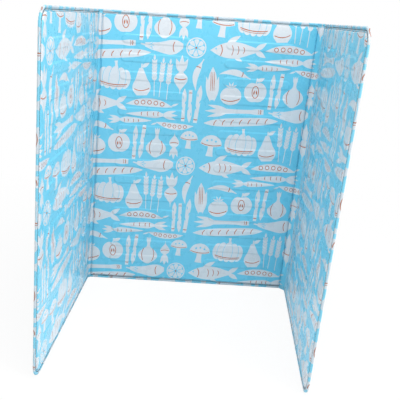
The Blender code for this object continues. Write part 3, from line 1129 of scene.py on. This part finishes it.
def binding_film(name, low, high, rim, start, runs, rigid):
    """A strip cut up the roll from start, and folded along its middle."""
    seed = sum(map(ord, name)) % 11  # each strip gathers in its own way

    def surface(flat, wall):
        run, across = flat[:, 0] * MM, flat[:, 1] * MM
        reach, spots = binding_profile(wall)
        inset = np.interp(np.abs(across), reach, spots[:, 0])
        off = np.interp(np.abs(across), reach, spots[:, 1])
        corner = rim.corner_at(run)
        puff = ease(0, TIGHT_EDGE, np.abs(across))
        drift = GATHER_SHIFT * np.sin(run / GATHER_DRIFT)
        wobble = np.sin(run * 2 * math.pi / GATHER_PITCH + drift + seed)
        pleat = np.sin(run * 2 * math.pi / PLEAT_PITCH + seed)
        off += puff * GATHER * ((1 - corner) * wobble + PLEAT * corner * pleat)
        return rim.place(run, inset, pinch(off, rim.clear_at(run)) * np.sign(across))

    *stations, edge = binding_profile(0.0)[0] / MM
    across = sorted({sign * station for station in stations for sign in (-1, 1)})
    runs = np.array([low, *runs, high]) / MM
    low, high = low / MM, high / MM
    boundary = np.array(along_outline(rectangle(low, high, -edge, edge), BINDING_SPACING))
    relief = [np.stack([runs, 0 * runs + station], axis=1) for station in across]
    relief = (relief, np.empty((0, 2)))
    span = (STRIP_MIDDLE - edge, STRIP_MIDDLE + edge)
    inked = [
        (ink, np.stack([points[:, 1] - start, STRIP_MIDDLE - points[:, 0]], axis=1))
        for ink, points in print_over(*span, start + low, start + high)
    ]
    return film_piece(name, boundary, inked, rim_shaded_strip_inks, surface, BINDING_WALL, rigid, relief)


def even_runs(low, high, step):
    count = max(int((high - low) / step), 1)
    return [low + (k + 0.5) * (high - low) / count for k in range(count)]


class Rim:
    """A bound edge: how clear of a crease a run along it is, and how far in a corner."""

    def clear_at(self, run):
        return np.minimum(run, self.length - run)

    def corner_at(self, run):
        return 0 * run


class BackRim(Rim):
    """The bottom or top rim of the back panel, run from its left crease."""

    body = "back_panel"
    length = BACK_WIDTH

    def __init__(self, top):
        self.top = top

    def place(self, run, inset, off):
        z = HEIGHT - inset if self.top else inset
        return stands[self.body].place(run - BACK_WIDTH / 2, z, off)


class WingRim(Rim):
    """The three rims of a wing, run from the bottom of its crease round to the top."""

    def __init__(self, body):
        self.body = body
        self.straight = WING_WIDTH - CORNER_RADIUS
        self.arc = CORNER_RADIUS * math.pi / 2
        self.upright = HEIGHT - 2 * CORNER_RADIUS
        self.length = 2 * self.straight + 2 * self.arc + self.upright

    def heading(self, run):
        first = np.clip((run - self.straight) / self.arc, 0, 1)
        second = np.clip((self.length - self.straight - run) / self.arc, 0, 1)
        return (first + 1 - second) * math.pi / 2

    def place(self, run, inset, off):
        heading = self.heading(run)
        out = np.minimum(run, self.straight)
        back = np.maximum(run - (self.length - self.straight), 0)
        climb = np.clip(run - self.straight - self.arc, 0, self.upright)
        reach = CORNER_RADIUS - inset
        u = out - back + reach * np.sin(heading)
        z = CORNER_RADIUS + climb - reach * np.cos(heading)
        return stands[self.body].place(u, z, off)

    def corner_at(self, run):
        return ease(0.0, 0.5, np.abs(np.sin(2 * self.heading(run))))

    def corner_runs(self):
        for start in (self.straight, self.straight + self.arc + self.upright):
            yield from even_runs(start - CORNER_LEAD, start + self.arc + CORNER_LEAD, CORNER_STEP)


rims = {f"back_{edge}": BackRim(edge == "top") for edge in ("bottom", "top")}
rims |= {name: WingRim(f"{name}_wing") for name in ("left", "right")}

for number, (key, rim) in enumerate(rims.items()):
    low, high = RIM_GAP, rim.length - RIM_GAP
    runs = even_runs(low, high, BINDING_STEP)
    for step in END_STEPS:
        runs += [low + step * MM, high - step * MM]
    if isinstance(rim, WingRim):
        runs += rim.corner_runs()
    start = STRIP_NEXT * number + STRIP_START
    piece = binding_film(f"{key}_bound_edge", low, high, rim, start, sorted(runs), rigid=True)
    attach(piece, rim.body)
    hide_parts(f"{key}_binding")


class FoldRim(Rim):
    """The bottom or top rim of half a fold, run from its crease."""

    def __init__(self, crease, top):
        self.crease = crease
        self.top = top

    def place(self, run, inset, off):
        return self.crease.place(run, HEIGHT - inset if self.top else inset, off)

    def clear_at(self, run):
        run = run + self.crease.from_inner
        clear = np.minimum(np.abs(run), np.abs(run - self.crease.width))
        return np.minimum(clear, FOLD_CLEAR)


for (name, half), crease in creases.items():
    for edge in ("bottom", "top"):
        rim = FoldRim(crease, edge == "top")
        key = f"{name}_fold_{edge}_{half}_bound_edge"
        start, runs = FOLD_STRIP_START[edge], crease.stations()
        piece = binding_film(key, *crease.span, rim, start, runs, rigid=False)
        crease.bend_piece(piece)
        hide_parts(f"{name}_fold_{edge}_binding")

# Binding seams: a lockstitch of spun polyester thread, the needle thread in front and the
# bobbin thread behind. Each stitch lies on the film in the groove and dives into a hole at
# both ends. The thread is real, and its dark colour is painted shade of the groove.
STITCH = 4.5 * MM
THREAD_RADIUS = 0.44 * MM
STITCH_SHAPE = ((0.0, -0.32), (0.06, 0.1), (0.5, 0.2), (0.94, 0.1))
THREAD_SIDES = 6
# Dark thread colours: painted shade of the seam's groove, laid on the real thread
THREAD_GROOVE_SHADE_COLOUR = "#1d4655"
THREAD_GROOVE_SHADE_DARK = "#10303c"
TWIST_PITCH = 0.9 * MM
WAVE_TEXTURE_PITCH = 0.31

# Spun polyester: matt, with the twist of its plies as fine slanting ridges
thread, tree, place = start_material("spun_polyester_thread_painted_groove_shade")
twist = add_node(tree, "TexWave", {
    "Vector": place, "Scale": WAVE_TEXTURE_PITCH / TWIST_PITCH,
    "Distortion": 1.5, "Detail": 1.0,
}, bands_direction="DIAGONAL").outputs["Fac"]
shade = add_node(tree, "Mix", {
    0: twist, 6: colour(THREAD_GROOVE_SHADE_DARK), 7: colour(THREAD_GROOVE_SHADE_COLOUR),
}, data_type="RGBA")
ply = add_node(tree, "Bump", {"Height": twist, "Strength": 0.5, "Distance": 0.08 * MM})
yarn = add_node(tree, "BsdfPrincipled", {
    "Base Color": shade.outputs[2], "Roughness": 0.75, "Normal": ply, "IOR": 1.5,
    "Sheen Weight": 0.2,
})
add_node(tree, "OutputMaterial", {"Surface": yarn})


def stitched_thread(name, rim, face):
    """A tube that follows a rim's groove, and dives into the film between stitches."""
    low, high = RIM_GAP, rim.length - RIM_GAP
    count = int((high - low) / STITCH)
    spots = binding_profile(0.0)[1]
    groove = np.interp(SEAM_INSET, spots[:, 0], spots[:, 1])
    shares, lifts = zip(*STITCH_SHAPE)
    runs = [low + (n + share) * (high - low) / count for n in range(count) for share in shares]
    runs = np.array(runs + [high])
    lifts = np.array([*lifts * count, lifts[0]]) * MM
    off = pinch(groove, rim.clear_at(runs)) + lifts
    points = []
    for k in range(THREAD_SIDES):
        angle = 2 * math.pi * k / THREAD_SIDES
        inset = SEAM_INSET + THREAD_RADIUS * math.cos(angle) + 0 * runs
        points.append(rim.place(runs, inset, face * (off + THREAD_RADIUS * math.sin(angle))))
    points = np.stack(points, axis=1).reshape(-1, 3)
    faces = []
    for ring in range(0, len(points) - THREAD_SIDES, THREAD_SIDES):
        for k in range(THREAD_SIDES):
            a, b = ring + k, ring + (k + 1) % THREAD_SIDES
            faces.append((a, b, b + THREAD_SIDES, a + THREAD_SIDES))
    faces.append(tuple(range(THREAD_SIDES))[::-1])
    faces.append(tuple(range(len(points) - THREAD_SIDES, len(points))))
    mesh = bpy.data.meshes.new(name)
    mesh.from_pydata(points, [], turned_outward(points, faces))
    mesh.materials.append(thread)
    mesh.shade_smooth()
    piece = put_in_scene(name, mesh)
    return piece


for key, rim in rims.items():
    for layer, face in (("needle", 1), ("bobbin", -1)):
        piece = stitched_thread(f"{key}_stitched_{layer}_thread", rim, face)
        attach(piece, rim.body)
        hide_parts(f"{key}_{layer}_thread")

boxes = {"cad": cad_box, "visual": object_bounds()}
{name: [list(corner) for corner in box] for name, box in boxes.items()}
